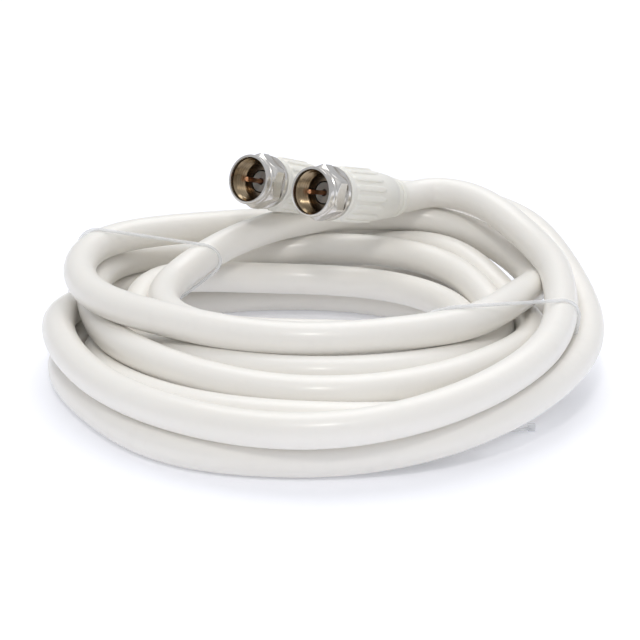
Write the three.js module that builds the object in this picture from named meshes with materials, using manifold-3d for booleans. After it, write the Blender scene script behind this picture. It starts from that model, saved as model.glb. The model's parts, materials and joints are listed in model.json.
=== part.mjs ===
// A loosely wound coil of white coaxial cable, lying flat, with a screw-on connector on each end.
// Millimetres, +Z up. The coil's axis is vertical and it lies on the plane z = 0.
// The origin is under the middle of the whole object's box.

import * as THREE from 'three';
import { mergeVertices } from 'three/addons/utils/BufferGeometryUtils.js';
import Module from 'manifold-3d';

const wasm = await Module();
wasm.setup();

// Cable and coil
const CABLE_D = 6.9;            // over the jacket
const CABLE_SIDES = 10;
const SEAT_GAP = 0.3;           // left between two pieces that touch
const BORE_D = 66.2;            // clear opening inside the coil
const TURN_COLUMNS = 4;         // turns side by side
const TURN_LAYERS = 3;          // turns on each other
const TURN_SLACK = 0.2;         // between two turns that lie side by side
const FLOOR_LAND = 1.45;        // half the width that a lowest turn is flattened to
const COIL_SEGMENTS = 44;

// Connector, along its own axis from the mouth towards the cable
const COLLAR_D = 11;            // round collar at the mouth
const COLLAR_L = 2.3;
const HEX_ACROSS_FLATS = 11;
const HEX_CHAMFER_D = 12.4;
const HEX_L = 3.0;
const REAR_COLLAR_D = 12;
const REAR_COLLAR_L = 1.5;
const THREAD_D = 9.5;
const NUT_LIP_L = 1.0;
const NUT_LIP_D = 7.2;
const FLANGE_D = 8.6;
const FLANGE_L = 0.9;
const FERRULE_D = 9.6;
const FERRULE_L = 9;
const DIELECTRIC_D = 4.6;
const CONDUCTOR_D = 1.02;
const CONDUCTOR_REACH = 0.8;    // past the mouth
const CORE_DEPTH = 6;           // of the bared core behind the flange
const NUT_PLAY = 0.5;           // between the nut and the boot
const BOOT_L = 23.7;
const BOOT_FRONT_D = 11.7;
const BOOT_D = 12.2;
const BOOT_WAIST_D = 10.5;      // where the taper meets the tail's rings
const BOOT_RING_D = 9.3;
const BOOT_GROOVE_D = 8.4;
const BOOT_END_D = 8.3;
const CONNECTOR_SIDES = 28;

// Where the connectors lie: the middle of the mouth, the compass heading of the axis
// (0 is +X, 90 is +Y) and how far it dips, both from the mouth towards the cable
const CONNECTORS = {
  a: { mouth: [-2.4, 23.4, 34.0], heading: 50.6, dip: 14.1 },
  b: { mouth: [-16.3, 33.1, 34.3], heading: 51.8, dip: 17.6 },
};

// The free ends of the cable, from the boot to where each joins the coil's top turns.
// The points are measured from the coil's axis.
const TAIL_STUB = 4;            // straight out of the boot
const TAIL_POINTS = {
  a: [[24.4, 53.6, 24.9], [31.4, 52.4, 24.6], [38.2, 44.6, 24.0], [43.4, 34.6, 22.8],
    [46.8, 24.8, 21.6]],
  b: [[9.6, 62.8, 22.2], [19.5, 66.2, 21.4], [30.5, 63.4, 21.6], [40.4, 55.6, 22.0],
    [48.2, 45.6, 22.2], [53.4, 34.8, 22.0], [56.4, 23.8, 21.6]],
};
const TAIL_COLUMN = { a: 3, b: 4 };         // counted from the bore
const TAIL_LANDING = { a: 18, b: 14 };      // compass bearing where it starts to sink in
const TAIL_END = { a: -4, b: -10 };         // compass bearing where it ends
const TAIL_STEPS = 26;

// Ties
const TIE_WIDTH = 1.6;
const TIE_THICKNESS = 0.9;
const TIE_CORNER = 3;
const TIE_BEARINGS = { left: 131, right: -19 };

// Worked out from the sizes above
const CABLE_R = CABLE_D / 2;
const TURN_PITCH = CABLE_D + TURN_SLACK;
const BORE_R = BORE_D / 2;
const COIL_R = BORE_R + TURN_COLUMNS * TURN_PITCH;
const FLOOR_SINK = CABLE_R - Math.sqrt(CABLE_R ** 2 - FLOOR_LAND ** 2);
const COIL_H = TURN_LAYERS * CABLE_D - FLOOR_SINK;
const NUT_L = COLLAR_L + HEX_L + REAR_COLLAR_L;
const FLANGE_FRONT = NUT_L - NUT_LIP_L - SEAT_GAP - FLANGE_L;
const BOOT_FRONT = NUT_L + NUT_PLAY;
const CONNECTOR_L = BOOT_FRONT + BOOT_L;

const columnRadius = (column) => BORE_R + (column - 0.5) * TURN_PITCH;
const layerHeight = (layer) => (layer - 0.5) * CABLE_D - FLOOR_SINK;
const radians = THREE.MathUtils.degToRad;

const jacket = new THREE.MeshStandardMaterial({ color: 0xe9e9e6, roughness: 0.42, metalness: 0 });
const bootPlastic = new THREE.MeshStandardMaterial({ color: 0xe3ded0, roughness: 0.5, metalness: 0 });
const nickel = new THREE.MeshStandardMaterial({ color: 0xb9b6ae, roughness: 0.22, metalness: 1 });
const whitePlastic = new THREE.MeshStandardMaterial({ color: 0xf2f1ec, roughness: 0.6, metalness: 0 });
const copper = new THREE.MeshStandardMaterial({ color: 0xb87a4b, roughness: 0.3, metalness: 1 });
const nylon = new THREE.MeshStandardMaterial({ color: 0xe4e8ea, roughness: 0.35, metalness: 0 });

// Booleans

function toSolid(geometry) {
  const plain = geometry.clone();
  plain.deleteAttribute('normal');
  plain.deleteAttribute('uv');
  const merged = mergeVertices(plain, 1e-4);
  return new wasm.Manifold(new wasm.Mesh({
    numProp: 3,
    vertProperties: new Float32Array(merged.attributes.position.array),
    triVerts: new Uint32Array(merged.index.array),
  }));
}

function toGeometry(solid) {
  const mesh = solid.getMesh();
  const geometry = new THREE.BufferGeometry();
  geometry.setAttribute('position', new THREE.BufferAttribute(new Float32Array(mesh.vertProperties), 3));
  geometry.setIndex(new THREE.BufferAttribute(new Uint32Array(mesh.triVerts), 1));
  geometry.computeVertexNormals();
  return geometry;
}

// A closed profile of [radius, height] pairs turned round the Z axis
function turned(profile, segments) {
  const points = profile.map(([radius, height]) => new THREE.Vector2(radius, height));
  points.push(points[0].clone());
  return new THREE.LatheGeometry(points, segments).rotateX(Math.PI / 2);
}

// A tube round a curve, closed at both ends
function tube(curve, radius, steps, sides) {
  const section = new THREE.Shape();
  for (let i = 0; i < sides; i += 1) {
    const angle = (2 * Math.PI * i) / sides;
    const [x, y] = [radius * Math.cos(angle), radius * Math.sin(angle)];
    if (i === 0) section.moveTo(x, y);
    else section.lineTo(x, y);
  }
  section.closePath();
  return new THREE.ExtrudeGeometry(section, { steps, extrudePath: curve, bevelEnabled: false });
}

// The coil

// The outline of a pack of turns: the outer arcs of the turns round its edge
function coilProfile() {
  const profile = [];
  const arc = (column, layer, from, to, count) => {
    for (let i = 0; i <= count; i += 1) {
      const angle = radians(from + ((to - from) * i) / count);
      profile.push([
        columnRadius(column) + CABLE_R * Math.cos(angle),
        Math.max(0, layerHeight(layer) + CABLE_R * Math.sin(angle)),
      ]);
    }
  };
  const flat = THREE.MathUtils.radToDeg(Math.asin(FLOOR_LAND / CABLE_R));
  const last = TURN_COLUMNS;
  const top = TURN_LAYERS;
  arc(1, 1, 150, 210, 1);
  arc(1, 1, 210, 270 - flat, 1);
  arc(1, 1, 270 + flat, 325, 1);
  for (let column = 2; column < last; column += 1) {
    arc(column, 1, 215, 270 - flat, 1);
    arc(column, 1, 270 + flat, 325, 1);
  }
  arc(last, 1, 215, 270 - flat, 1);
  arc(last, 1, 270 + flat, 390, 3);
  for (let layer = 2; layer < top; layer += 1) arc(last, layer, -50, 50, 3);
  arc(last, top, -50, 130, 5);
  for (let column = last - 1; column > 1; column -= 1) arc(column, top, 50, 130, 3);
  arc(1, top, 50, 230, 5);
  for (let layer = top - 1; layer > 1; layer -= 1) arc(1, layer, 130, 230, 3);
  return profile.filter((point, i) => i === 0
    || Math.hypot(point[0] - profile[i - 1][0], point[1] - profile[i - 1][1]) > 1e-3);
}

// Connector pieces, along +Z from the mouth

function nutGeometry() {
  const hexTop = COLLAR_L + HEX_L;
  const hex = new THREE.Shape();
  for (let i = 0; i < 6; i += 1) {
    const angle = radians(60 * i + 30);
    const corner = HEX_ACROSS_FLATS / 2 / Math.cos(radians(30));
    const [x, y] = [corner * Math.cos(angle), corner * Math.sin(angle)];
    if (i === 0) hex.moveTo(x, y);
    else hex.lineTo(x, y);
  }
  hex.closePath();
  const prism = new THREE.ExtrudeGeometry(hex, { depth: HEX_L, bevelEnabled: false });
  prism.translate(0, 0, COLLAR_L);
  const chamfer = (HEX_CHAMFER_D - HEX_ACROSS_FLATS) / 2;
  const envelope = turned([
    [0, COLLAR_L - 0.5], [HEX_ACROSS_FLATS / 2, COLLAR_L - 0.5], [HEX_ACROSS_FLATS / 2, COLLAR_L],
    [HEX_CHAMFER_D / 2, COLLAR_L + chamfer], [HEX_CHAMFER_D / 2, hexTop + 0.5], [0, hexTop + 0.5],
  ], CONNECTOR_SIDES);
  const body = turned([
    [0, 0], [COLLAR_D / 2 - 0.25, 0], [COLLAR_D / 2, 0.25], [COLLAR_D / 2, COLLAR_L + 0.5],
    [REAR_COLLAR_D / 2 - 0.9, COLLAR_L + 0.5], [REAR_COLLAR_D / 2 - 0.9, hexTop],
    [REAR_COLLAR_D / 2, hexTop], [REAR_COLLAR_D / 2, NUT_L - 0.3], [REAR_COLLAR_D / 2 - 0.3, NUT_L],
    [0, NUT_L],
  ], CONNECTOR_SIDES);
  const hole = turned([
    [0, -1], [THREAD_D / 2 + 0.35, -1], [THREAD_D / 2 + 0.35, 0], [THREAD_D / 2, 0.35],
    [THREAD_D / 2, NUT_L - NUT_LIP_L], [NUT_LIP_D / 2, NUT_L - NUT_LIP_L],
    [NUT_LIP_D / 2, NUT_L + 1], [0, NUT_L + 1],
  ], CONNECTOR_SIDES);
  const solid = toSolid(prism).intersect(toSolid(envelope)).add(toSolid(body)).subtract(toSolid(hole));
  return toGeometry(solid);
}

function postGeometry() {
  const bore = DIELECTRIC_D / 2 + SEAT_GAP;
  const neck = NUT_LIP_D / 2 - SEAT_GAP;
  const back = BOOT_FRONT + FERRULE_L;
  return turned([
    [bore, FLANGE_FRONT], [FLANGE_D / 2, FLANGE_FRONT], [FLANGE_D / 2, FLANGE_FRONT + FLANGE_L],
    [neck, FLANGE_FRONT + FLANGE_L], [neck, BOOT_FRONT], [FERRULE_D / 2, BOOT_FRONT],
    [FERRULE_D / 2, back], [bore, back],
  ], 22);
}

function bootGeometry() {
  const end = CONNECTOR_L;
  const ring = 1.3;
  const socketR = FERRULE_D / 2 + SEAT_GAP;
  const socketEnd = BOOT_FRONT + FERRULE_L + SEAT_GAP;
  return turned([
    [socketR, BOOT_FRONT], [BOOT_FRONT_D / 2, BOOT_FRONT], [BOOT_D / 2, BOOT_FRONT + 1.6],
    [BOOT_D / 2, BOOT_FRONT + BOOT_L * 0.5], [BOOT_WAIST_D / 2, end - 3.4 * ring],
    [BOOT_GROOVE_D / 2, end - 3.2 * ring], [BOOT_GROOVE_D / 2, end - 2.9 * ring],
    [BOOT_RING_D / 2, end - 2.7 * ring], [BOOT_RING_D / 2, end - 1.9 * ring],
    [BOOT_GROOVE_D / 2, end - 1.7 * ring], [BOOT_GROOVE_D / 2, end - 1.3 * ring],
    [BOOT_END_D / 2 + 0.3, end - ring], [BOOT_END_D / 2, end], [0, end],
    [0, socketEnd], [socketR, socketEnd],
  ], CONNECTOR_SIDES);
}

function dielectricGeometry() {
  const hole = CONDUCTOR_D / 2 + SEAT_GAP;
  return turned([
    [hole, FLANGE_FRONT], [DIELECTRIC_D / 2, FLANGE_FRONT],
    [DIELECTRIC_D / 2, FLANGE_FRONT + CORE_DEPTH], [0, FLANGE_FRONT + CORE_DEPTH],
    [0, FLANGE_FRONT + CORE_DEPTH - 1], [hole, FLANGE_FRONT + CORE_DEPTH - 1],
  ], 20);
}

function conductorGeometry() {
  const r = CONDUCTOR_D / 2;
  return turned([
    [0, -CONDUCTOR_REACH], [r * 0.6, -CONDUCTOR_REACH], [r, -CONDUCTOR_REACH + 0.3],
    [r, FLANGE_FRONT + CORE_DEPTH - 1 - SEAT_GAP], [0, FLANGE_FRONT + CORE_DEPTH - 1 - SEAT_GAP],
  ], 10);
}

// Places

const AXIS = new THREE.Vector3(0, 0, 1);

function connectorDirection({ heading, dip }) {
  const flatPart = Math.cos(radians(dip));
  return new THREE.Vector3(
    flatPart * Math.cos(radians(heading)),
    flatPart * Math.sin(radians(heading)),
    -Math.sin(radians(dip)),
  );
}

// The route of a free end, and the same route carried on by `extra` past its end
function tailCurve(key, extra) {
  const direction = connectorDirection(CONNECTORS[key]);
  const mouth = new THREE.Vector3(...CONNECTORS[key].mouth);
  const exit = mouth.clone().addScaledVector(direction, CONNECTOR_L + SEAT_GAP);
  const points = [exit, exit.clone().addScaledVector(direction, TAIL_STUB)];
  TAIL_POINTS[key].forEach((point) => points.push(new THREE.Vector3(...point)));
  const radius = columnRadius(TAIL_COLUMN[key]);
  const top = layerHeight(TURN_LAYERS);
  const from = TAIL_LANDING[key];
  const to = TAIL_END[key] - THREE.MathUtils.radToDeg(extra / radius);
  for (let i = 0; i <= 4; i += 1) {
    const bearing = radians(from + ((to - from) * i) / 4);
    const sunk = Math.min(1, i / 3);
    const height = top + (1 - sunk * sunk * (3 - 2 * sunk)) * CABLE_D * 0.62;
    points.push(new THREE.Vector3(radius * Math.cos(bearing), radius * Math.sin(bearing), height));
  }
  return new THREE.CatmullRomCurve3(points, false, 'centripetal');
}

// A tie's outline round the coil's section: across it, and up it
function tieShape() {
  const outline = (grow) => {
    const left = BORE_R - grow;
    const right = COIL_R + grow;
    const bottom = 0;
    const low = grow > SEAT_GAP ? bottom : bottom + TIE_THICKNESS;
    const high = COIL_H + grow;
    const corner = TIE_CORNER + grow;
    const path = grow > SEAT_GAP ? new THREE.Shape() : new THREE.Path();
    path.moveTo(left + 1, low);
    path.lineTo(right - 1, low);
    path.lineTo(right, low + 1);
    path.lineTo(right, high - corner);
    path.lineTo(right - corner * 0.3, high - corner * 0.3);
    path.lineTo(right - corner, high);
    path.lineTo(left + corner, high);
    path.lineTo(left + corner * 0.3, high - corner * 0.3);
    path.lineTo(left, high - corner);
    path.lineTo(left, low + 1);
    path.closePath();
    return path;
  };
  const shape = outline(SEAT_GAP + TIE_THICKNESS);
  shape.holes.push(outline(SEAT_GAP));
  return shape;
}

function tieGeometry(bearing) {
  const geometry = new THREE.ExtrudeGeometry(tieShape(), { depth: TIE_WIDTH, bevelEnabled: false });
  geometry.translate(0, 0, -TIE_WIDTH / 2);
  geometry.rotateX(Math.PI / 2);
  geometry.rotateZ(radians(bearing));
  return geometry;
}

const group = new THREE.Group();

function addPiece(parent, name, geometry, material) {
  const mesh = new THREE.Mesh(geometry, material);
  mesh.name = name;
  parent.add(mesh);
  return mesh;
}

const tails = {
  a: tube(tailCurve('a', 0), CABLE_R, TAIL_STEPS, CABLE_SIDES),
  b: tube(tailCurve('b', 0), CABLE_R, TAIL_STEPS, CABLE_SIDES),
};

// The top of the coil gives way under the boots and the sunk ends of the tails,
// and its underside under the ties. A trough's flats lie the gap off the tube's corners.
const troughR = (CABLE_R + SEAT_GAP) / Math.cos(Math.PI / CABLE_SIDES);
let coil = toSolid(turned(coilProfile(), COIL_SEGMENTS));
for (const key of ['a', 'b']) {
  const trough = tube(tailCurve(key, SEAT_GAP), troughR, TAIL_STEPS, CABLE_SIDES);
  coil = coil.subtract(toSolid(trough));
  const seat = turned([[0, 0], [BOOT_D / 2 + SEAT_GAP, 0], [BOOT_D / 2 + SEAT_GAP, BOOT_L * 0.6],
    [BOOT_RING_D / 2 + SEAT_GAP, BOOT_L + SEAT_GAP], [0, BOOT_L + SEAT_GAP]], 16);
  seat.translate(0, 0, BOOT_FRONT);
  seat.applyQuaternion(new THREE.Quaternion()
    .setFromUnitVectors(AXIS, connectorDirection(CONNECTORS[key])));
  seat.translate(...CONNECTORS[key].mouth);
  coil = coil.subtract(toSolid(seat));
}
for (const bearing of Object.values(TIE_BEARINGS)) {
  const slotHeight = TIE_THICKNESS + SEAT_GAP;
  const slot = new THREE.BoxGeometry(COIL_R - BORE_R + 8, TIE_WIDTH + 2 * SEAT_GAP, slotHeight * 2);
  slot.translate((COIL_R + BORE_R) / 2, 0, 0);
  slot.rotateZ(radians(bearing));
  coil = coil.subtract(toSolid(slot));
}
addPiece(group, 'cable_coil', toGeometry(coil), jacket);

for (const key of ['a', 'b']) {
  addPiece(group, `cable_tail_${key}`, tails[key], jacket);
  const connector = new THREE.Group();
  connector.position.set(...CONNECTORS[key].mouth);
  connector.quaternion.setFromUnitVectors(AXIS, connectorDirection(CONNECTORS[key]));
  addPiece(connector, `boot_${key}`, bootGeometry(), bootPlastic);
  addPiece(connector, `post_${key}`, postGeometry(), nickel);
  addPiece(connector, `nut_${key}`, nutGeometry(), nickel);
  addPiece(connector, `dielectric_${key}`, dielectricGeometry(), whitePlastic);
  addPiece(connector, `conductor_${key}`, conductorGeometry(), copper);
  group.add(connector);
}

for (const [side, bearing] of Object.entries(TIE_BEARINGS)) {
  addPiece(group, `tie_${side}`, tieGeometry(bearing), nylon);
}

// The origin goes under the middle of the object's box
group.updateMatrixWorld(true);
const middle = new THREE.Box3().setFromObject(group, true).getCenter(new THREE.Vector3());
const centred = new THREE.Group();
group.position.set(-middle.x, -middle.y, 0);
centred.add(group);

export default centred;
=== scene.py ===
"""Looks of a loose coil of white coaxial cable with a screw-on connector at each end.

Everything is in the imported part's frame, in metres, +Z up. Sizes that belong to the cable's
turns are in millimetres, measured from the coil's upright axis, and are scaled once.
"""
import json
import math

import bmesh
import bpy
import numpy as np
from mathutils import Matrix, Vector


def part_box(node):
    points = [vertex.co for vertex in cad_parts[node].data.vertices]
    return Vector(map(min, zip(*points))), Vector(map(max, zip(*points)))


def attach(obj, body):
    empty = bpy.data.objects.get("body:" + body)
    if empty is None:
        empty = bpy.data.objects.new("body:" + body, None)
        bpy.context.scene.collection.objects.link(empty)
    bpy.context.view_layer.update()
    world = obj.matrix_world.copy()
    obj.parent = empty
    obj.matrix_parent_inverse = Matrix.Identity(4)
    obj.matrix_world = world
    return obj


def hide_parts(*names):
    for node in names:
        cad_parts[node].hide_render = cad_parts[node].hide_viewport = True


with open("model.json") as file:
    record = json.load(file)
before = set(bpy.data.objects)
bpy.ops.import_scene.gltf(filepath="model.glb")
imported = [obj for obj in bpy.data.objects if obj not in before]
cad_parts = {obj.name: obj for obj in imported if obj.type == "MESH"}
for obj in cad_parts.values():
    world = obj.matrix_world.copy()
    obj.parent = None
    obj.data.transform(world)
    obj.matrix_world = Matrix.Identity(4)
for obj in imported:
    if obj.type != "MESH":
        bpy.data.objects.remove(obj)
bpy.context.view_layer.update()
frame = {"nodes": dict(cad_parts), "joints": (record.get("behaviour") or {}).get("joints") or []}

MM = 0.001

# Cable
CABLE_D = 6.9
CABLE_R = CABLE_D / 2
ROUTE_STEP = 4.0                # between the points that settle
CURVE_STEP = 1.2                # between the points of the finished curve
EVENING_ROUNDS = 6              # that soften the route's bends before it settles
SETTLE_ROUNDS = 260
SETTLE_SHARE = 0.8              # of each push that a round makes
EASE_BACK = 0.98                # how far the early rounds let a push stand
FIXED_RUN = 34                  # from each end, over which the route becomes free to move

# Where the turns pass. Each row is one turn, clockwise seen from above, and gives the distance
# from the coil's axis and the height at every compass bearing of STATIONS.
STATIONS = [30 - 30 * i for i in range(12)]
TURNS_FROM_A = [
    [(52.3, 19.2), (47.9, 16.4), (51.0, 14.2), (55.1, 11.6), (57.2, 9.0), (55.0, 9.0),
     (52.8, 9.6), (54.6, 10.4), (57.5, 7.2), (54.5, 7.0), (53.0, 10.3), (54.6, 14.8)],
    [(47.0, 10.8), (45.3, 9.9), (42.3, 11.8), (42.2, 12.0), (42.9, 12.0), (40.2, 12.0),
     (40.2, 12.0), (45.0, 10.6), (56.5, 13.7), (60.0, 9.5), (58.8, 4.2), (56.5, 3.45)],
    [(55.5, 3.45), (50.6, 3.45), (45.8, 3.6), (47.8, 6.8), (49.8, 9.6), (48.7, 9.2),
     (46.8, 7.6), (47.5, 5.0), (48.0, 6.3), (49.5, 11.3), (46.8, 14.2), (46.0, 14.1)],
    [(40.5, 12.6), (38.0, 9.8), (35.8, 11.2), (35.6, 13.2), (36.2, 14.0), (36.6, 13.4),
     (38.0, 11.6), (40.0, 9.5), (46.0, 12.6), (42.8, 9.5), (39.0, 8.3), (36.7, 8.3)],
    [(34.0, 8.0), (31.3, 8.6), (29.0, 12.0), (26.0, 15.4), (24.2, 17.0), (27.0, 17.0),
     (30.7, 16.2), (33.8, 15.3), (38.5, 15.2), (40.5, 19.7), (50.0, 21.0), (61.5, 18.2)],
    [(54.5, 12.4), (40.8, 16.4), (35.6, 16.9), (31.3, 17.8), (30.8, 17.8), (31.6, 17.9),
     (35.6, 18.0), (48.3, 18.0), (56.8, 19.9), (52.0, 19.4), (61.0, 15.8), (60.5, 10.5)],
    [(50.0, 5.6), (43.3, 3.5), (38.8, 4.0), (40.3, 3.45)],
]
# The cable is doubled back once, on the floor. From there it runs the other way round to end b.
FOLD_BEARING = -76
FOLD_INNER_R = 16.4
FOLD_OUTER_R = 40.0
TURNS_TO_B = [
    [(16.8, 3.45), (21.0, 3.45), (28.0, 3.45), (37.0, 3.45), (42.7, 3.45), (45.7, 3.45),
     (50.0, 3.45), (54.0, 3.45), (54.5, 3.45), (52.2, 3.45), (55.6, 3.45), (53.5, 3.6)],
    [(54.0, 7.6), (53.8, 11.0), (55.3, 12.9), (59.3, 18.2)],
]
TAIL_STUB = 4.0
TAIL_POINTS = {
    "a": [(24.4, 53.6, 25.2), (31.4, 51.6, 24.8), (37.6, 44.0, 23.4)],
    "b": [(9.6, 62.8, 22.8), (19.5, 66.2, 22.0), (30.5, 63.4, 21.8), (40.0, 55.2, 21.6),
          (46.8, 45.0, 21.0)],
}

# Connector, along its own axis from the mouth towards the cable
COLLAR_D = 11.0
COLLAR_L = 2.3
HEX_ACROSS_FLATS = 11.0
HEX_CHAMFER_D = 12.4
HEX_L = 3.0
REAR_COLLAR_D = 12.0
REAR_COLLAR_L = 1.5
NUT_L = COLLAR_L + HEX_L + REAR_COLLAR_L
THREAD_D = 9.5
THREAD_PITCH = 0.79
THREAD_DEPTH = 0.42
NUT_LIP_D = 7.2
NUT_LIP_L = 1.0
BOOT_FRONT = 7.3
BOOT_L = 23.7
BOOT_RIBS = 16
RIB_HEIGHT = 0.36
RIBS_START = 2.0                # behind the boot's front
RIBS_END = 12.4
CONNECTOR_L = BOOT_FRONT + BOOT_L

# Ties
TIE_D = 0.7
TIE_SIDES = 72                  # points of a loop
# Each tie's upright plane: a point it goes through, in millimetres from the coil's axis, the
# compass bearing along which it runs outwards, and how far it reaches to either side
TIE_PLANES = {"left": ((-38.0, 26.5), 181, 21), "right": ((38.0, -17.0), 16, 15)}
LEAST_SLANT = 0.4               # of a turn to the plane, for its width there
TIE_TOP = 24                    # turns that cross above this height aren't held
TIE_TAIL = [(33.0, -34.5, 2.0), (35.6, -32.9, 1.0), (38.5, -31.6, 0.6), (41.0, -30.6, 0.6)]
TIE_HEAD = (1.5, 0.8, 1.6)      # the small bar that ends it

# Studio: the strength of the pale surroundings near the ground and overhead, and of the floor's glow
SKY_LOW = 0.55
SKY_HIGH = 0.65
FLOOR_GLOW = 0.18
FLOOR_REACH = 4

# The camera looks along +Y and down at a point of the floor in the coil's bore, which the
# picture shows a little below and right of its middle. Angles are in degrees.
CAMERA_AIM = Vector((0, -0.0016, 0))
CAMERA_DISTANCE = 0.425
CAMERA_ELEVATION = 20.0
CAMERA_LENS = 113.06
AIM_BELOW_MIDDLE = 1.51
AIM_RIGHT_OF_MIDDLE = 0.057

coil_low, coil_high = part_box("cable_coil")
COIL_CENTRE = Vector(((coil_low.x + coil_high.x) / 2, (coil_low.y + coil_high.y) / 2, 0))
JOINTS = {joint["name"]: joint for joint in frame["joints"]}


# Shader helpers

class Shade:
    """A shader number or colour that takes part in sums and products."""

    def __init__(self, tree, socket):
        self.tree = tree
        self.socket = socket

    def _math(self, operation, first, second):
        node = self.tree.nodes.new("ShaderNodeMath")
        node.operation = operation
        for place, value in enumerate((first, second)):
            put(self.tree, value, node.inputs[place])
        return Shade(self.tree, node.outputs[0])

    def __add__(self, other):
        return self._math("ADD", self, other)

    def __radd__(self, other):
        return self._math("ADD", other, self)

    def __sub__(self, other):
        return self._math("SUBTRACT", self, other)

    def __rsub__(self, other):
        return self._math("SUBTRACT", other, self)

    def __mul__(self, other):
        return self._math("MULTIPLY", self, other)

    def __rmul__(self, other):
        return self._math("MULTIPLY", other, self)


def put(tree, value, socket):
    """Links a shade to a socket, or sets the socket to a plain value."""
    if isinstance(value, Shade):
        tree.links.new(value.socket, socket)
    elif isinstance(value, (tuple, list)) and len(value) == 3 and socket.type == "RGBA":
        socket.default_value = (*value, 1)
    else:
        socket.default_value = value


class Finish:
    """A new material with its main shader, and the nodes that feed it."""

    def __init__(self, name, **constants):
        self.material = bpy.data.materials.new(name)
        self.material.use_nodes = True
        self.tree = self.material.node_tree
        self.shader = self.tree.nodes["Principled BSDF"]
        self.set(**constants)

    def set(self, **values):
        for name, value in values.items():
            put(self.tree, value, self.shader.inputs[name.replace("_", " ")])

    def node(self, kind, output=0, settings=None, **sockets):
        made = self.tree.nodes.new(kind)
        for name, value in (settings or {}).items():
            setattr(made, name, value)
        for name, value in sockets.items():
            put(self.tree, value, made.inputs[name.replace("_", " ")])
        return Shade(self.tree, made.outputs[output])

    def place(self):
        return self.node("ShaderNodeTexCoord", "Object")

    def noise(self, scale, detail=3.0, roughness=0.5):
        return self.node("ShaderNodeTexNoise", "Fac", Vector=self.place(), Scale=scale,
                         Detail=detail, Roughness=roughness)

    def ramp(self, shade, low, high):
        return self.node("ShaderNodeMapRange", "Result", Value=shade,
                         **{"From_Min": low, "From_Max": high})

    def mix(self, share, first, second):
        made = self.tree.nodes.new("ShaderNodeMix")
        made.data_type = "RGBA"
        put(self.tree, share, made.inputs[0])
        put(self.tree, first, made.inputs[6])
        put(self.tree, second, made.inputs[7])
        return Shade(self.tree, made.outputs[2])

    def bump(self, height, strength, distance):
        self.set(Normal=self.node("ShaderNodeBump", "Normal", Height=height,
                                  Strength=strength, Distance=distance))


def jacket_finish():
    finish = Finish("jacket", Subsurface_Weight=0.12, Subsurface_Scale=0.002,
                    Subsurface_Radius=(1, 0.9, 0.8), IOR=1.5, Coat_Weight=0.25, Coat_Roughness=0.16)
    cloud = finish.ramp(finish.noise(14.0), 0.35, 0.65)
    scuff = finish.ramp(finish.noise(260.0, 5.0, 0.6), 0.55, 0.75)
    clean = finish.mix(cloud, (0.88, 0.853, 0.80), (0.91, 0.885, 0.838))
    finish.set(Base_Color=finish.mix(scuff * 0.18, clean, (0.78, 0.765, 0.725)))
    finish.set(Roughness=0.34 + cloud * 0.06 + scuff * 0.05)
    finish.bump(finish.noise(900.0, 2.0), 0.05, 0.0004)
    return finish.material


def boot_finish():
    finish = Finish("boot", Subsurface_Weight=0.25, Subsurface_Scale=0.002,
                    Subsurface_Radius=(1, 0.9, 0.75), IOR=1.5)
    cloud = finish.ramp(finish.noise(60.0), 0.35, 0.65)
    finish.set(Base_Color=finish.mix(cloud, (0.88, 0.855, 0.78), (0.92, 0.90, 0.835)))
    finish.set(Roughness=0.38 + cloud * 0.08)
    finish.bump(finish.noise(700.0, 2.0), 0.06, 0.0003)
    return finish.material


def metal_finish(name, light, dark, roughness):
    finish = Finish(name, Metallic=1.0)
    cloud = finish.ramp(finish.noise(180.0, 4.0), 0.35, 0.7)
    grain = finish.noise(2200.0, 2.0)
    finish.set(Base_Color=finish.mix(cloud, light, dark))
    finish.set(Roughness=roughness + cloud * 0.06 + grain * 0.04)
    return finish.material


def plastic_painted_shade_finish():
    finish = Finish("dielectric", Subsurface_Weight=0.2, Subsurface_Scale=0.001)
    cloud = finish.noise(900.0)
    # The dielectric is white plastic; this dark brown is painted shade from deep inside the connector.
    finish.set(Base_Color=finish.mix(cloud, (0.26, 0.24, 0.21), (0.36, 0.34, 0.31)))
    finish.set(Roughness=0.5 + cloud * 0.2)
    return finish.material


def nylon_finish():
    finish = Finish("tie", Alpha=0.5, IOR=1.5)
    cloud = finish.noise(400.0)
    finish.set(Base_Color=finish.mix(cloud, (0.86, 0.87, 0.88), (0.94, 0.95, 0.96)))
    finish.set(Roughness=0.22 + cloud * 0.12)
    return finish.material


JACKET = jacket_finish()
BOOT = boot_finish()
NICKEL = metal_finish("nickel", (0.80, 0.78, 0.75), (0.64, 0.61, 0.57), 0.17)
# The thread's bronze tone is its own, but it is made far darker than bronze to paint the shade inside
# the nut.
THREAD_BRONZE_AND_PAINTED_SHADE = metal_finish("thread", (0.42, 0.33, 0.22), (0.16, 0.11, 0.06), 0.13)
# The post is painted near-black as the shade deep inside the nut.
POST_PAINTED_SHADE = metal_finish("post", (0.24, 0.19, 0.14), (0.12, 0.09, 0.06), 0.2)
COPPER = metal_finish("copper", (0.78, 0.40, 0.22), (0.60, 0.28, 0.14), 0.26)
# The dielectric's dark colour is painted shade, not its own.
DIELECTRIC_PAINTED_SHADE = plastic_painted_shade_finish()
NYLON = nylon_finish()


# The cable's route

def around(bearing, radius, height):
    """A point by its compass bearing, distance from the coil's axis and height, millimetres."""
    turn = math.radians(bearing)
    return (radius * math.cos(turn), radius * math.sin(turn), height)


def connector_place(key):
    """The mouth, in millimetres from the coil's axis, and the direction of connector key."""
    joint = JOINTS[f"nut_{key}_spin"]
    mouth = (Vector(joint["pos_m"]) - COIL_CENTRE) / MM
    return mouth, Vector(joint["axis"]).normalized()


def tail(key):
    """A free end's points, from inside its boot to where it joins the turns."""
    mouth, direction = connector_place(key)
    inside = mouth + direction * (CONNECTOR_L - 1.0)
    out = mouth + direction * (CONNECTOR_L + TAIL_STUB)
    return [tuple(inside), tuple(out), *TAIL_POINTS[key]]


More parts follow.
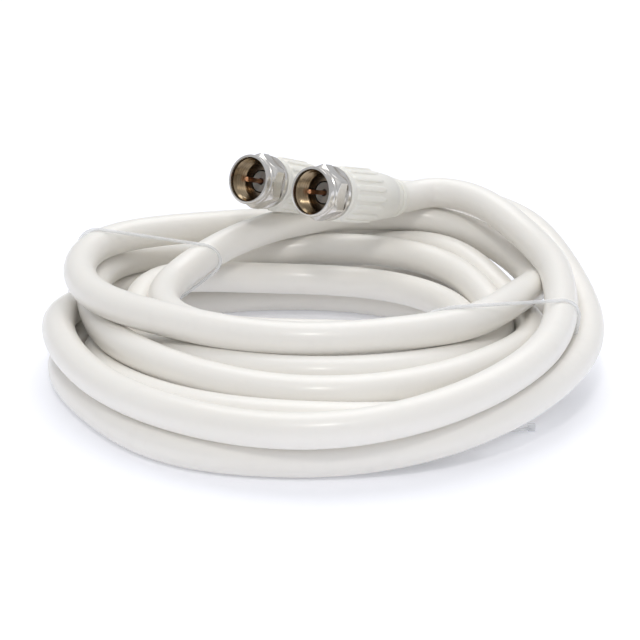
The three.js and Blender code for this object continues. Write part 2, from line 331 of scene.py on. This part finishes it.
def fold():
    """The half circle in which the cable doubles back, from its outer leg to its inner one."""
    turn = math.radians(FOLD_BEARING)
    outward = np.array([math.cos(turn), math.sin(turn), 0])
    along = np.array([math.sin(turn), -math.cos(turn), 0])
    middle = outward * (FOLD_INNER_R + FOLD_OUTER_R) / 2 + np.array([0, 0, CABLE_R])
    half = (FOLD_OUTER_R - FOLD_INNER_R) / 2
    points = []
    for i in range(5):
        angle = math.radians(90 - 45 * i)
        points.append(tuple(middle + half * (outward * math.sin(angle) + along * math.cos(angle))))
    return points


def route():
    """The places the cable passes, from end a through every turn and the fold to end b."""
    points = tail("a")
    for row in TURNS_FROM_A:
        points += [around(b, r, z) for b, (r, z) in zip(STATIONS, row)]
    points += fold()
    bearing = -60
    for row in TURNS_TO_B:
        for radius, height in row:
            points.append(around(bearing, radius, height))
            bearing += 30
    return np.array(points + tail("b")[::-1])


def smooth_line(points, step):
    """A natural cubic spline through the points, as points evenly step apart."""
    gaps = np.linalg.norm(np.diff(points, axis=0), axis=1) ** 0.75
    knots = np.concatenate([[0], np.cumsum(gaps)])
    count = len(points)
    matrix = np.eye(count)
    right = np.zeros((count, 3))
    slopes = np.diff(points, axis=0) / gaps[:, None]
    for i in range(1, count - 1):
        matrix[i, i - 1:i + 2] = gaps[i - 1], 2 * (gaps[i - 1] + gaps[i]), gaps[i]
        right[i] = 6 * (slopes[i] - slopes[i - 1])
    bends = np.linalg.solve(matrix, right)
    at = np.linspace(0, knots[-1], count * 50)
    i = np.clip(np.searchsorted(knots, at, side="right") - 1, 0, count - 2)
    span = gaps[i][:, None]
    before = (knots[i + 1] - at)[:, None] / span
    after = 1 - before
    fine = before * points[i] + after * points[i + 1]
    fine += ((before**3 - before) * bends[i] + (after**3 - after) * bends[i + 1]) * span**2 / 6
    run = np.concatenate([[0], np.cumsum(np.linalg.norm(np.diff(fine, axis=0), axis=1))])
    even = np.linspace(0, run[-1], int(run[-1] / step) + 1)
    return np.stack([np.interp(even, run, fine[:, k]) for k in range(3)], axis=1)


def relax(line, times, margin=10):
    """Evens out the line's bends, but not at the points of its margins."""
    for _ in range(times):
        inner = line[margin:-margin]
        inner += 0.25 * (line[margin - 1:-margin - 1] + line[margin + 1:1 - margin] - 2 * inner)
    return line


def settle(wanted):
    """Pushes turns that lie in each other a diameter apart, and keeps them off the floor."""
    line = wanted.copy()
    count = len(line)
    first, second = np.triu_indices(count, int(2.2 * CABLE_D / ROUTE_STEP) + 1)
    freedom = np.clip(np.arange(count) * ROUTE_STEP / FIXED_RUN, 0, 1)
    freedom = np.minimum(freedom, freedom[::-1])[:, None]
    for round_ in range(SETTLE_ROUNDS):
        between = line[second] - line[first]
        apart = np.linalg.norm(between, axis=1)
        close = apart < CABLE_D
        i, j = first[close], second[close]
        push = between[close] / apart[close, None] * ((CABLE_D - apart[close]) / 2)[:, None]
        move = np.zeros_like(line)
        pushed = np.zeros(count)
        np.add.at(move, i, -push)
        np.add.at(move, j, push)
        np.add.at(pushed, i, 1)
        np.add.at(pushed, j, 1)
        line += SETTLE_SHARE * move * freedom / np.sqrt(np.maximum(pushed, 1))[:, None]
        line[:, 2] = np.maximum(line[:, 2], CABLE_R)
        shift = line - wanted
        for _ in range(2):
            shift[1:-1] += 0.25 * (shift[:-2] + shift[2:] - 2 * shift[1:-1])
        if round_ < SETTLE_ROUNDS * 0.6:
            shift *= EASE_BACK
        line = wanted + shift
        line[:, 2] = np.maximum(line[:, 2], CABLE_R)
    return line


def curve_object(name, points, diameter, material, cyclic=False, rings=10):
    """A round tube along points, which are in the row frame in metres."""
    data = bpy.data.curves.new(name, "CURVE")
    data.dimensions = "3D"
    data.bevel_depth = diameter / 2
    data.bevel_resolution = rings
    data.use_fill_caps = not cyclic
    spline = data.splines.new("POLY")
    spline.points.add(len(points) - 1)
    spline.points.foreach_set("co", np.c_[points, np.ones(len(points))].ravel())
    spline.use_cyclic_u = cyclic
    spline.use_smooth = True
    piece = bpy.data.objects.new(name, data)
    bpy.context.scene.collection.objects.link(piece)
    data.materials.append(material)
    return piece


# Turned and moulded pieces

def turned(name, profile, steps, key, body, materials, shape=None, sharp=35):
    """A closed profile of (radius, height) pairs in millimetres, spun round the connector's
    axis and set in its place. shape moves the spun vertices, and returns nothing."""
    bm = bmesh.new()
    ring = [bm.verts.new((radius, 0, height)) for radius, height in profile]
    edges = [bm.edges.new((ring[i - 1], ring[i])) for i in range(len(ring))]
    bmesh.ops.spin(bm, geom=ring + edges, cent=(0, 0, 0), axis=(0, 0, 1),
                   angle=2 * math.pi, steps=steps, use_merge=True)
    bmesh.ops.remove_doubles(bm, verts=bm.verts, dist=1e-4)
    if shape:
        shape(bm)
    bmesh.ops.recalc_face_normals(bm, faces=bm.faces)
    for edge in bm.edges:
        edge.smooth = len(edge.link_faces) == 2 and edge.calc_face_angle() < math.radians(sharp)
    for face in bm.faces:
        face.smooth = True
    mouth, direction = connector_place(key)
    turn = direction.to_track_quat("Z", "Y").to_matrix().to_4x4()
    place = Matrix.Translation(COIL_CENTRE) @ Matrix.Scale(MM, 4) @ Matrix.Translation(mouth) @ turn
    bmesh.ops.transform(bm, matrix=place, verts=bm.verts)
    data = bpy.data.meshes.new(name)
    bm.to_mesh(data)
    bm.free()
    for material in materials:
        data.materials.append(material)
    piece = bpy.data.objects.new(name, data)
    bpy.context.scene.collection.objects.link(piece)
    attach(piece, body)
    return piece


def nut_profile():
    """The nut's closed section: round collar, hexagon with a chamfer, rear collar, thread."""
    hex_end = COLLAR_L + HEX_L
    collar = COLLAR_D / 2
    rear = REAR_COLLAR_D / 2
    profile = [(collar - 0.55, 0.0), (collar - 0.25, 0.0), (collar - 0.06, 0.08), (collar, 0.25),
               (collar, 0.9), (collar - 0.22, 1.1), (collar - 0.22, 1.5), (collar, 1.7),
               (collar, COLLAR_L), (HEX_ACROSS_FLATS / 2 + 0.02, COLLAR_L + 0.02)]
    for i in range(1, 7):
        share = i / 6
        radius = HEX_ACROSS_FLATS / 2 + (HEX_CHAMFER_D - HEX_ACROSS_FLATS) / 2 * share
        profile.append((radius, COLLAR_L + 0.75 * share))
    profile += [(HEX_CHAMFER_D / 2, hex_end - 0.3), (HEX_CHAMFER_D / 2, hex_end),
                (rear - 0.5, hex_end + 0.02), (rear - 0.5, hex_end + 0.3), (rear, hex_end + 0.4),
                (rear, NUT_L - 0.3), (rear - 0.3, NUT_L), (NUT_LIP_D / 2, NUT_L),
                (NUT_LIP_D / 2, NUT_L - NUT_LIP_L)]
    root = THREAD_D / 2
    crest = root - THREAD_DEPTH
    start = NUT_L - NUT_LIP_L - 0.15
    profile.append((root, start + 0.1))
    turns = int((start - 0.9) / THREAD_PITCH)
    for i in range(turns):
        height = start - i * THREAD_PITCH
        profile += [(root, height - 0.1 * THREAD_PITCH), (crest, height - 0.5 * THREAD_PITCH),
                    (crest, height - 0.6 * THREAD_PITCH)]
    profile += [(root, 0.75), (root + 0.1, 0.4), (collar - 0.6, 0.1)]
    return profile


def hexagon(bm):
    """Flattens what stands out of the hexagon's flats."""
    flat = HEX_ACROSS_FLATS / 2
    for vert in bm.verts:
        if COLLAR_L < vert.co.z < COLLAR_L + HEX_L + 0.01:
            radius = math.hypot(vert.co.x, vert.co.y)
            angle = math.atan2(vert.co.y, vert.co.x)
            folded = (angle + math.pi / 6) % (math.pi / 3) - math.pi / 6
            reach = flat / math.cos(folded)
            if radius > reach:
                vert.co.x *= reach / radius
                vert.co.y *= reach / radius


def boot_profile():
    """The boot's closed section, with many rings where its ribs are."""
    end = CONNECTOR_L
    profile = [(4.9, BOOT_FRONT + 0.5), (5.3, BOOT_FRONT), (5.75, BOOT_FRONT),
               (5.85, BOOT_FRONT + 0.15), (5.85, BOOT_FRONT + 1.3), (5.72, BOOT_FRONT + 1.5),
               (5.72, BOOT_FRONT + 1.8)]
    for i in range(29):
        share = i / 28
        profile.append((5.80, BOOT_FRONT + 2.0 + 10.6 * share))
    for i in range(1, 9):
        share = i / 8
        profile.append((5.80 - 0.75 * share**1.3, BOOT_FRONT + 12.6 + 6.2 * share))
    for ring, radius in enumerate((4.72, 4.45)):
        foot = end - 4.9 + ring * 2.3
        profile += [(radius - 0.38, foot + 0.15), (radius - 0.38, foot + 0.55),
                    (radius - 0.1, foot + 0.7), (radius, foot + 0.95), (radius, foot + 1.6),
                    (radius - 0.1, foot + 1.85), (radius - 0.38, foot + 2.0)]
    profile += [(4.1, end), (3.5, end), (3.5, end - 3), (4.9, end - 5)]
    return profile


def ribs(bm):
    """Raises the ribs along the boot, each with a round end towards the cable."""
    first = BOOT_FRONT + RIBS_START
    last = BOOT_FRONT + RIBS_END
    for vert in bm.verts:
        height = vert.co.z
        radius = math.hypot(vert.co.x, vert.co.y)
        if first < height < last and radius > 5.0:
            angle = math.atan2(vert.co.y, vert.co.x)
            across = abs((angle * BOOT_RIBS / (2 * math.pi) + 0.5) % 1.0 - 0.5) * 2
            ahead = max(0.0, (height - (last - 1.6)) / 1.6)
            back = max(0.0, ((first + 0.8) - height) / 0.8)
            reach = math.hypot(across * 1.0, 0.55 * max(ahead, back))
            lift = RIB_HEIGHT * max(0.0, min(1.0, (0.62 - reach) / 0.14))
            vert.co.x *= 1 + lift / radius
            vert.co.y *= 1 + lift / radius


def make_nut(key):
    nut = turned(f"nut_look_{key}", nut_profile(), 144, key, f"nut_{key}", [NICKEL, THREAD_BRONZE_AND_PAINTED_SHADE],
                 hexagon, 25)
    mouth, direction = connector_place(key)
    # The faces inside the nut get the thread finish: its own bronze, darkened as painted shade.
    origin = COIL_CENTRE + mouth * MM
    for face in nut.data.polygons:
        middle = face.center - origin
        along = middle.dot(direction)
        out = (middle - direction * along).length
        if out < (THREAD_D / 2 + 0.05) * MM and along < (NUT_L - 0.2) * MM:
            face.material_index = 1
    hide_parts(f"nut_{key}")
    return nut


def make_boot(key):
    boot = turned(f"boot_look_{key}", boot_profile(), BOOT_RIBS * 12, key, "root", [BOOT], ribs, 40)
    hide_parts(f"boot_{key}")
    return boot


# The ties

def tie_loop(line, through, bearing, reach):
    """The shortest loop round every turn that crosses an upright plane near a point. A turn that
    crosses at a slant is wider in the plane."""
    turn = math.radians(bearing)
    outward = np.array([math.cos(turn), math.sin(turn)])
    beside = np.array([-math.sin(turn), math.cos(turn)])
    flat = line[:, :2] - np.array(through)
    side = flat @ beside
    crossings = []
    for i in np.nonzero(side[:-1] * side[1:] <= 0)[0]:
        step = line[i + 1] - line[i]
        point = line[i] + side[i] / (side[i] - side[i + 1]) * step
        out = (point[:2] - np.array(through)) @ outward
        if abs(out) < reach and point[2] < TIE_TOP:
            slant = abs(step[:2] @ beside) / np.linalg.norm(step)
            crossings.append((out, point[2], CABLE_R / max(slant, LEAST_SLANT)))
    places = np.array(crossings)
    loop = []
    for i in range(TIE_SIDES):
        angle = 2 * math.pi * i / TIE_SIDES
        direction = np.array([math.cos(angle), math.sin(angle)])
        wide = places[:, 2] + TIE_D / 2
        tall = CABLE_R + TIE_D / 2
        spread = np.hypot(wide * direction[0], tall * direction[1])
        best = np.argmax(places[:, :2] @ direction + spread)
        out = places[best, 0] + wide[best]**2 * direction[0] / spread[best]
        up = places[best, 1] + tall**2 * direction[1] / spread[best]
        flat_place = np.array(through) + out * outward
        loop.append((*flat_place, max(up, TIE_D / 2)))
    return np.array(loop)


def to_row(points):
    """From millimetres round the coil's axis to metres in the row frame."""
    return np.asarray(points) * MM + np.array(COIL_CENTRE)


def make_ties(line):
    for side, (through, bearing, reach) in TIE_PLANES.items():
        loop = to_row(tie_loop(line, through, bearing, reach))
        tie = curve_object(f"tie_look_{side}", loop, TIE_D * MM, NYLON, cyclic=True, rings=4)
        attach(tie, "root")
        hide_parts(f"tie_{side}")
    end = curve_object("tie_tail", to_row(smooth_line(np.array(TIE_TAIL), 0.5)), TIE_D * MM,
                       NYLON, rings=4)
    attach(end, "root")
    bm = bmesh.new()
    bmesh.ops.create_cube(bm, size=1)
    bmesh.ops.scale(bm, vec=Vector(TIE_HEAD) * MM, verts=bm.verts)
    bmesh.ops.bevel(bm, geom=bm.edges, offset=0.15 * MM, segments=2, profile=0.5,
                    affect="EDGES", material=-1)
    bmesh.ops.translate(bm, vec=Vector(to_row(TIE_TAIL[-1])) + Vector((0, 0, 0.2 * MM)), verts=bm.verts)
    data = bpy.data.meshes.new("tie_head")
    bm.to_mesh(data)
    bm.free()
    data.materials.append(NYLON)
    head = bpy.data.objects.new("tie_head", data)
    bpy.context.scene.collection.objects.link(head)
    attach(head, "root")


# The object

turns = settle(relax(smooth_line(route(), ROUTE_STEP), EVENING_ROUNDS))
centreline = smooth_line(turns, CURVE_STEP)
cable = curve_object("cable_look", to_row(centreline), CABLE_D * MM, JACKET)
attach(cable, "root")
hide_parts("cable_coil", "cable_tail_a", "cable_tail_b")

for key in ("a", "b"):
    make_nut(key)
    make_boot(key)
    # The post's and the dielectric's dark colours are painted shade inside the nut.
    for node, material in (("post", POST_PAINTED_SHADE), ("dielectric", DIELECTRIC_PAINTED_SHADE), ("conductor", COPPER)):
        part = frame["nodes"][f"{node}_{key}"]
        part.data.materials.clear()
        part.data.materials.append(material)

make_ties(centreline)


# Floor, lights and camera

def make_floor():
    finish = Finish("floor", Roughness=0.6, Emission_Strength=FLOOR_GLOW)
    finish.set(Emission_Color=(0.94, 0.96, 1.0))
    shade = finish.noise(3.0)
    finish.set(Base_Color=finish.mix(shade, (0.88, 0.885, 0.93), (0.89, 0.895, 0.94)))
    bm = bmesh.new()
    bmesh.ops.create_grid(bm, x_segments=1, y_segments=1, size=FLOOR_REACH)
    data = bpy.data.meshes.new("floor")
    bm.to_mesh(data)
    bm.free()
    data.materials.append(finish.material)
    floor = bpy.data.objects.new("floor", data)
    bpy.context.scene.collection.objects.link(floor)


def area_light(name, place, aim, size, power, colour=(1, 1, 1)):
    data = bpy.data.lights.new(name, "AREA")
    data.shape = "DISK"
    data.size = size
    data.energy = power
    data.color = colour
    light = bpy.data.objects.new(name, data)
    light.location = place
    light.rotation_euler = (Vector(aim) - Vector(place)).to_track_quat("-Z", "Y").to_euler()
    bpy.context.scene.collection.objects.link(light)


def make_studio():
    area_light("key", (-0.05, -0.75, 1.0), (0, 0, 0.01), 0.20, 2.6, (1, 0.97, 0.93))
    area_light("overhead", (0.1, 0.6, 1.2), (0, 0, 0), 1.2, 7.0)
    world = bpy.data.worlds.new("studio")
    world.use_nodes = True
    tree = world.node_tree
    place = tree.nodes.new("ShaderNodeTexCoord")
    split = tree.nodes.new("ShaderNodeSeparateXYZ")
    tree.links.new(place.outputs["Generated"], split.inputs[0])
    height = tree.nodes.new("ShaderNodeMapRange")
    height.inputs["From Min"].default_value = 0.0
    height.inputs["From Max"].default_value = 0.75
    height.inputs["To Min"].default_value = SKY_LOW
    height.inputs["To Max"].default_value = SKY_HIGH
    tree.links.new(split.outputs["Z"], height.inputs["Value"])
    background = tree.nodes["Background"]
    background.inputs["Color"].default_value = (0.94, 0.96, 1.0, 1)
    tree.links.new(height.outputs["Result"], background.inputs["Strength"])
    bpy.context.scene.world = world


def make_camera():
    data = bpy.data.cameras.new("camera")
    data.sensor_width = 36
    data.lens = CAMERA_LENS
    data.clip_start = 0.01
    camera = bpy.data.objects.new("camera", data)
    down = math.radians(CAMERA_ELEVATION)
    camera.location = CAMERA_AIM + CAMERA_DISTANCE * Vector((0, -math.cos(down), math.sin(down)))
    pitch = math.radians(CAMERA_ELEVATION - AIM_BELOW_MIDDLE)
    yaw = math.radians(AIM_RIGHT_OF_MIDDLE)
    camera.rotation_euler = (math.radians(90) - pitch, 0, yaw)
    bpy.context.scene.collection.objects.link(camera)
    bpy.context.scene.camera = camera


make_floor()
make_studio()
make_camera()
bpy.context.scene.view_settings.view_transform = "Standard"
